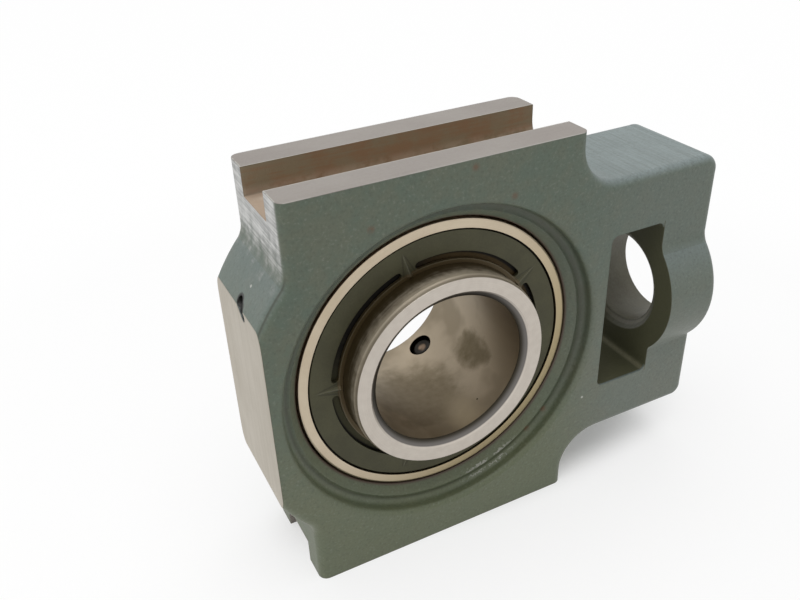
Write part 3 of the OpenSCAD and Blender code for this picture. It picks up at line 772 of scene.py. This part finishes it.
def screw_core():
    """Plain core with a hexagon socket at its outer end and a cup at its point."""
    bpy.ops.object.select_all(action="DESELECT")
    bpy.ops.mesh.primitive_cylinder_add(vertices=ROUND_SIDES, radius=SCREW_CORE * MM,
                                        depth=SCREW_LENGTH * MM, location=(0.0, 0.0, SCREW_LENGTH / 2 * MM))
    core = bpy.context.object
    bpy.ops.object.transform_apply(location=True, rotation=False, scale=False)
    edge = core.modifiers.new("edge", "BEVEL")
    edge.width = SCREW_BEVEL * MM
    edge.segments = 2
    edge.limit_method = "ANGLE"
    bpy.ops.object.modifier_apply(modifier=edge.name)
    socket_corner = SOCKET_FLATS / 2 / math.cos(math.pi / 6)
    bpy.ops.mesh.primitive_cylinder_add(vertices=6, radius=socket_corner * MM, depth=2 * SOCKET_DEPTH * MM,
                                        location=(0.0, 0.0, SCREW_LENGTH * MM))
    cut_away(core, bpy.context.object)
    bpy.ops.mesh.primitive_cone_add(vertices=ROUND_SIDES, radius1=CUP_RADIUS * MM, depth=CUP_DEPTH * MM,
                                    location=(0.0, 0.0, (CUP_DEPTH / 2 - CUP_OVERLAP) * MM))
    cut_away(core, bpy.context.object)
    return core


def screw_thread():
    """Helical ridge of triangular section, closed at both ends."""
    bpy.ops.object.select_all(action="DESELECT")
    bpy.ops.mesh.primitive_circle_add(vertices=3, radius=MM, location=(0.0, 0.0, 0.0))
    ridge = bpy.context.object
    # Width and height of an even triangle whose corners are 1 mm from its middle
    drawn_wide, drawn_tall = math.sqrt(3.0), 1.5
    wide = THREAD_FILL * THREAD_PITCH / drawn_wide
    tall = (THREAD_DEPTH + THREAD_SUNK) / drawn_tall
    bpy.ops.object.mode_set(mode="EDIT")
    bpy.ops.mesh.select_all(action="SELECT")
    bpy.ops.transform.resize(value=(wide, tall, 1.0), center_override=(0.0, 0.0, 0.0))
    bpy.ops.transform.rotate(value=math.pi / 2, orient_axis="Z", center_override=(0.0, 0.0, 0.0))
    bpy.ops.transform.rotate(value=math.pi / 2, orient_axis="X", center_override=(0.0, 0.0, 0.0))
    bpy.ops.object.mode_set(mode="OBJECT")
    high = max(ridge.data.vertices, key=lambda corner: abs(corner.co.x)).co.x
    to_crest = math.copysign(SCREW_CREST * MM, high) - high
    bpy.ops.object.mode_set(mode="EDIT")
    bpy.ops.transform.translate(value=(to_crest, 0.0, THREAD_START * MM))
    bpy.ops.object.mode_set(mode="OBJECT")
    helix = ridge.modifiers.new("helix", "SCREW")
    helix.screw_offset = THREAD_PITCH * MM
    helix.iterations = THREAD_TURNS
    helix.steps = HELIX_STEPS
    helix.render_steps = HELIX_STEPS
    bpy.ops.object.modifier_apply(modifier=helix.name)
    bpy.ops.object.mode_set(mode="EDIT")
    bpy.ops.mesh.select_all(action="SELECT")
    bpy.ops.mesh.fill_holes(sides=4)
    bpy.ops.mesh.select_all(action="SELECT")
    bpy.ops.mesh.normals_make_consistent(inside=False)
    bpy.ops.object.mode_set(mode="OBJECT")
    return ridge


def threaded_set_screw(node, angle):
    """One set screw with its thread, laid in its hole in the inner ring."""
    core = screw_core()
    ridge = screw_thread()
    bpy.ops.object.select_all(action="DESELECT")
    for part in (ridge, core):
        part.select_set(True)
    bpy.context.view_layer.objects.active = core
    bpy.ops.object.join()
    core.name = "threaded_" + node
    core.location = Vector((math.cos(angle) * SCREW_POINT, SCREW_PLANE, math.sin(angle) * SCREW_POINT)) * MM
    core.rotation_euler = (0.0, math.pi / 2 - angle, 0.0)
    bpy.ops.object.transform_apply(location=True, rotation=True, scale=True)
    bpy.ops.object.shade_smooth_by_angle(angle=SMOOTH_ANGLE)
    core.data.materials.clear()
    core.data.materials.append(FINISHES[node])
    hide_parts(node)
    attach(core, node)


def seen_directly(tree):
    """1 for rays that show the background: from the camera, mirrored or through glass."""
    path = tree.node("LightPath").socket.node
    camera_ray, mirrored, passed = (Sock(tree.tree, path.outputs[name]) for name in
                                    ("Is Camera Ray", "Is Glossy Ray", "Is Transmission Ray"))
    return camera_ray | mirrored | passed


def floor_finish():
    """Matte floor that keeps the object's shadow, deepened by a painted shadow where less white glow shows
    near the object, and turns plain white away from it.
    """
    material = bpy.data.materials.new("pale_floor")
    material.use_nodes = True
    material.node_tree.nodes.clear()
    tree = Sock(material.node_tree)
    matte = tree.node("BsdfDiffuse", inputs={"Color": (*FLOOR_PALE, 1.0)})
    glow = tree.node("Emission", inputs={"Color": (*WHITE, 1.0), "Strength": 1.0})
    spread = tree.node("TexCoord", out="Object")
    # Painted shadow: less white glow inside the shadow's reach
    outside_shadow = spread.within(SHADOW_MIDDLE, SHADOW_HALF).above(*SHADOW_EDGE)
    near_glow = outside_shadow.between(SHADOW_GLOW, NEAR_GLOW)
    far_glow = spread.length().above(*FAR_FLOOR) * FAR_GLOW
    share = seen_directly(tree) * (near_glow | far_glow)
    pale = tree.node("MixShader", inputs={0: share, 1: matte, 2: glow})
    tree.node("OutputMaterial", inputs={"Surface": pale})
    return material


def studio_world():
    """White surroundings that give less light than they show."""
    world = bpy.data.worlds.new("studio")
    world.use_nodes = True
    world.node_tree.nodes.clear()
    tree = Sock(world.node_tree)
    strength = seen_directly(tree).between(AMBIENT, 1.0)
    sky = tree.node("Background", inputs={"Color": (*WHITE, 1.0), "Strength": strength})
    tree.node("OutputWorld", inputs={"Surface": sky})
    return world


def area_light(name, place, watts, size):
    """A square lamp, in metres, that faces the origin."""
    data = bpy.data.lights.new(name, "AREA")
    data.energy = watts
    data.size = size
    lamp = bpy.data.objects.new(name, data)
    bpy.context.scene.collection.objects.link(lamp)
    lamp.location = place
    lamp.rotation_euler = (-Vector(place)).to_track_quat("-Z", "Y").to_euler()


def photo_camera():
    """Camera that looks from its place to its aim, rolled about that line."""
    data = bpy.data.cameras.new("camera")
    data.lens = CAMERA_LENS
    data.sensor_width = CAMERA_SENSOR
    data.clip_start = CAMERA_NEAREST
    camera = bpy.data.objects.new("camera", data)
    bpy.context.scene.collection.objects.link(camera)
    sight = CAMERA_AIM - CAMERA_PLACE
    roll = Quaternion(sight.normalized(), CAMERA_ROLL)
    camera.location = CAMERA_PLACE
    camera.rotation_mode = "QUATERNION"
    camera.rotation_quaternion = roll @ sight.to_track_quat("-Z", "Y")
    return camera


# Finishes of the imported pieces, by the word that a node's name holds
FINISHES = {
    "housing": CastingFinish().finish(),
    "outer_ring": ring_finish(),
    "inner_ring": inner_ring_finish(),
    "slinger": slinger_finish(),
    "seal": rubber_finish(),
    "cage": polished_finish("cage_sheet", CAGE_SHEET, CAGE_SHEET_LIGHT, smoothest=0.30, roughest=0.48),
    "ball": polished_finish("ball_steel", BALL_STEEL, BALL_STEEL_LIGHT, smoothest=0.06, roughest=0.16),
    "set_screw_1": screw_finish("set_screw_1"),
    "set_screw_2": screw_finish("set_screw_2"),
    "nipple": polished_finish("zinc_plate", ZINC, ZINC_LIGHT, smoothest=0.28, roughest=0.42),
}
for name, piece in nodes.items():
    kind = next(kind for kind in FINISHES if kind in name)
    piece.material_slots[0].material = FINISHES[kind]

# Set screws
for node, angle in SCREW_ANGLES.items():
    threaded_set_screw(node, angle)

# Floor, light and camera
bpy.ops.object.select_all(action="DESELECT")
bpy.ops.mesh.primitive_plane_add(size=FLOOR_SIZE, location=(0.0, 0.0, cad_box[0].z - FLOOR_GAP))
floor = bpy.context.object
floor.name = "floor"
floor.data.materials.append(floor_finish())

bpy.context.scene.world = studio_world()
area_light("overhead_light", (-0.08, 0.02, 1.2), watts=11.6, size=1.3)
area_light("side_light", (-0.80, -0.30, 0.50), watts=1.1, size=1.2)
bpy.context.scene.camera = photo_camera()
bpy.context.scene.view_settings.view_transform = "Standard"
